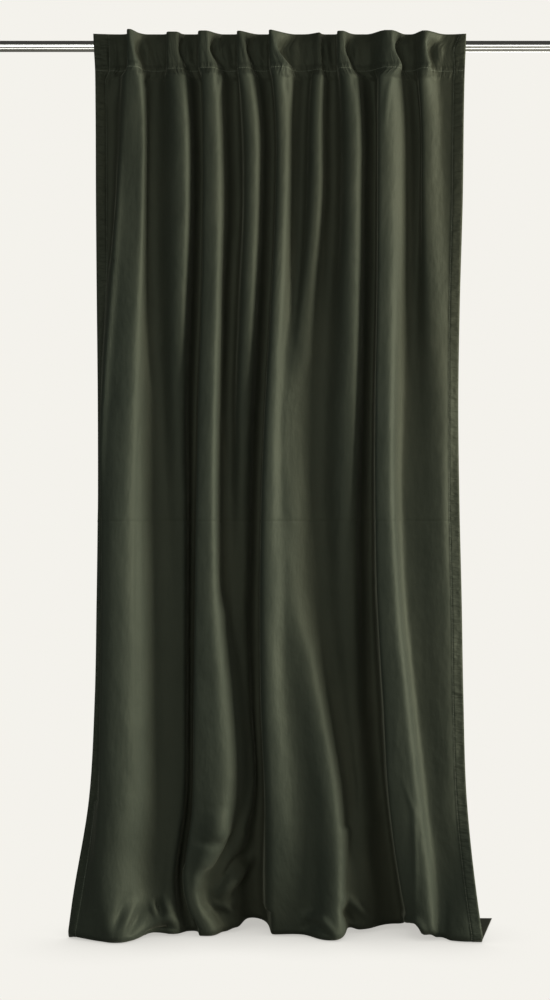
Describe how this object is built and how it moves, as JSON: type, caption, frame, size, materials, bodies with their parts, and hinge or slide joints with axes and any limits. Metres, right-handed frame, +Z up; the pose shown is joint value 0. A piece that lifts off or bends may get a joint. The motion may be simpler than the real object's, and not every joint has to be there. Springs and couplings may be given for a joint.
{
  "type": "velvet curtain panel on a plain round rod",
  "caption": "Long velvet curtain with a pinched heading, hanging in soft folds from hidden tabs on a plain round rod, its end tucked back along the floor.",
  "frame": {"origin": "on the rod's axis, at the middle of its length", "axes": "+X along the rod to the right as seen from the room, +Y towards the wall or window behind the cloth, +Z up; the cloth's right side faces -Y"},
  "size_m": [1.6, 0.3269, 2.3137],
  "materials": {
    "velvet": "dark olive-green velvet with a short soft pile",
    "tab_tape": "plain woven tape in the cloth's colour",
    "rod_metal": "polished metal"
  },
  "bodies": {
    "root": {"curtain_panel": "velvet", "rod": "rod_metal", "tab_01": "tab_tape", "tab_02": "tab_tape", "tab_03": "tab_tape", "tab_04": "tab_tape", "tab_05": "tab_tape", "tab_06": "tab_tape", "tab_07": "tab_tape", "tab_08": "tab_tape", "tab_09": "tab_tape", "tab_10": "tab_tape"}
  },
  "joints": []
}
